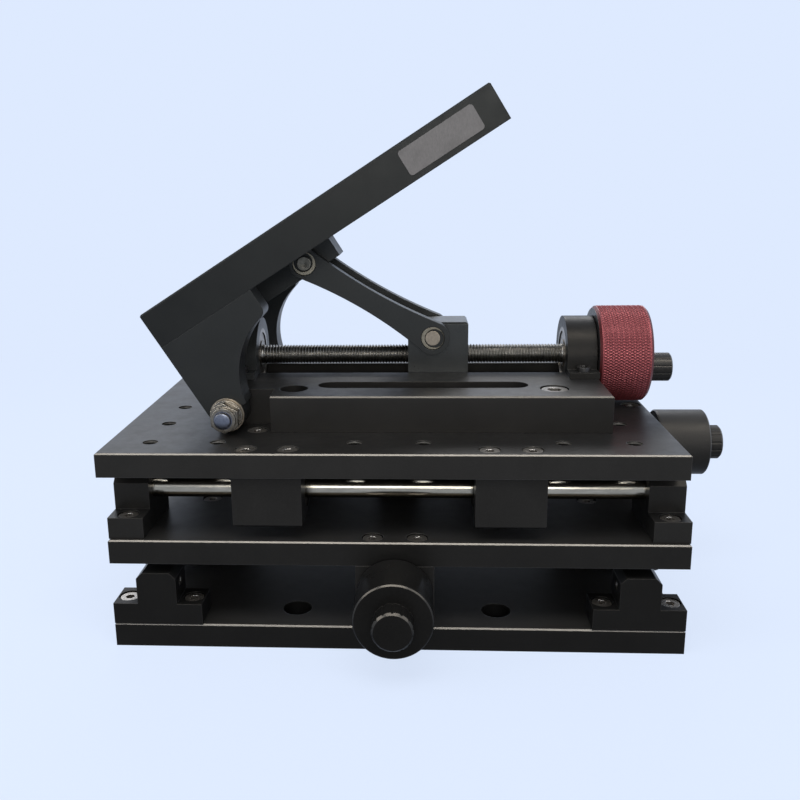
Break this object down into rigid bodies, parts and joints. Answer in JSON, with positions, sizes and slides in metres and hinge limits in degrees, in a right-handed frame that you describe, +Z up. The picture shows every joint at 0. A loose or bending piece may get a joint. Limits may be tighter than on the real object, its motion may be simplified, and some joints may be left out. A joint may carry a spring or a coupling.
{
  "type": "three-axis combination stage",
  "caption": "Crossed linear slides with plain knobs, and on top a table that a lead screw and curved links tilt about a hinge.",
  "frame": {"origin": "middle of the bottom plate's underside", "axes": "+X right along the long side and the upper slide, +Y back along the lower slide, +Z up"},
  "size_m": [0.2417, 0.1831, 0.1988],
  "materials": {
    "anodised_black": "satin black anodised",
    "ground_steel": "ground and polished",
    "dark_screw_steel": "blackened socket screws",
    "bright_steel": "bright zinc",
    "bearing_steel": "ground rings with dark shields",
    "thread_steel": "rolled thread, oiled",
    "brass": "turned",
    "red_anodised": "red anodised, knurled"
  },
  "bodies": {
    "base": {"bottom_plate": "anodised_black", "lower_shaft_left": "ground_steel", "lower_shaft_right": "ground_steel", "lower_support_front_left": "anodised_black", "lower_support_front_right": "anodised_black", "lower_support_rear_left": "anodised_black", "lower_support_rear_right": "anodised_black", "lower_nut_block": "anodised_black", "base_screws": "dark_screw_steel"},
    "y_carriage": {"middle_plate": "anodised_black", "lower_block_front_left": "anodised_black", "lower_block_front_right": "anodised_black", "lower_block_rear_left": "anodised_black", "lower_block_rear_right": "anodised_black", "lower_linear_bearings": "bearing_steel", "y_bracket": "anodised_black", "y_bracket_bearing": "bearing_steel", "upper_shaft_front": "ground_steel", "upper_shaft_rear": "ground_steel", "upper_support_front_left": "anodised_black", "upper_support_front_right": "anodised_black", "upper_support_rear_left": "anodised_black", "upper_support_rear_right": "anodised_black", "upper_nut_block": "anodised_black", "middle_screws": "dark_screw_steel"},
    "y_screw": {"lower_lead_screw": "thread_steel", "y_knob": "anodised_black"},
    "x_carriage": {"top_plate": "anodised_black", "upper_block_front_left": "anodised_black", "upper_block_front_right": "anodised_black", "upper_block_rear_left": "anodised_black", "upper_block_rear_right": "anodised_black", "upper_linear_bearings": "bearing_steel", "x_bracket": "anodised_black", "x_bracket_bearing": "bearing_steel", "top_screws": "dark_screw_steel", "tilt_base": "anodised_black", "tilt_base_screws": "dark_screw_steel", "left_housing": "anodised_black", "right_housing": "anodised_black", "housing_screws": "dark_screw_steel", "tilt_screw_bearings": "bearing_steel", "hinge_fasteners": "bright_steel"},
    "x_screw": {"upper_lead_screw": "thread_steel", "x_knob": "anodised_black"},
    "tilt_screw": {"tilt_lead_screw": "thread_steel", "tilt_knob": "red_anodised", "crank_pin": "dark_screw_steel"},
    "crank": {"crank_handle": "anodised_black"},
    "table": {"tilt_platform": "anodised_black", "front_cheek": "anodised_black", "rear_cheek": "anodised_black", "link_bar": "anodised_black", "platform_screws": "dark_screw_steel", "link_pin": "brass", "hinge_bushes": "brass"},
    "slider": {"slide_block": "anodised_black", "block_pin": "brass"},
    "links": {"front_link": "anodised_black", "rear_link": "anodised_black"}
  },
  "joints": [
    {"name": "y_slide", "type": "slide", "parent": "base", "child": "y_carriage", "axis": [0, 1, 0], "range_m": [-0.025, 0.025]},
    {"name": "y_knob_turn", "type": "hinge", "parent": "y_carriage", "child": "y_screw", "pos_m": [0, -0.0825, 0.0235], "axis": [0, 1, 0], "range_deg": [-7201, 7201]},
    {"name": "x_slide", "type": "slide", "parent": "y_carriage", "child": "x_carriage", "axis": [1, 0, 0], "range_m": [-0.0228, 0.0272]},
    {"name": "x_knob_turn", "type": "hinge", "parent": "x_carriage", "child": "x_screw", "pos_m": [0.11, 0, 0.0564], "axis": [-1, 0, 0], "range_deg": [-7835, 6568]},
    {"name": "table_tilt", "type": "hinge", "parent": "x_carriage", "child": "table", "pos_m": [-0.0633, 0, 0.0819], "axis": [0, -1, 0], "range_deg": [-32, 58]},
    {"name": "tilt_knob_turn", "type": "hinge", "parent": "x_carriage", "child": "tilt_screw", "pos_m": [0.092, 0, 0.0951], "axis": [1, 0, 0], "range_deg": [-8911.87, 16152.77]},
    {"name": "crank_spin", "type": "hinge", "parent": "tilt_screw", "child": "crank", "pos_m": [0.1055, -0.009, 0.0911], "axis": [1, 0, 0], "continuous": true},
    {"name": "block_travel", "type": "slide", "parent": "x_carriage", "child": "slider", "axis": [1, 0, 0], "range_m": [-0.0562, 0.03105]},
    {"name": "link_turn", "type": "hinge", "parent": "slider", "child": "links", "pos_m": [0.01429, 0, 0.1041], "axis": [0, 1, 0], "range_deg": [-20.85, 37.75]}
  ],
  "couplings": [
    {"joint": "y_knob_turn", "follows": "y_slide", "rad_per_m": 5026.5},
    {"joint": "x_knob_turn", "follows": "x_slide", "rad_per_m": -5026.5},
    {"joint": "table_tilt", "follows": "tilt_knob_turn", "ratio": 0.0035907},
    {"joint": "block_travel", "follows": "tilt_knob_turn", "m_per_rad": -0.00019894},
    {"joint": "link_turn", "follows": "tilt_knob_turn", "ratio": 0.002334}
  ]
}
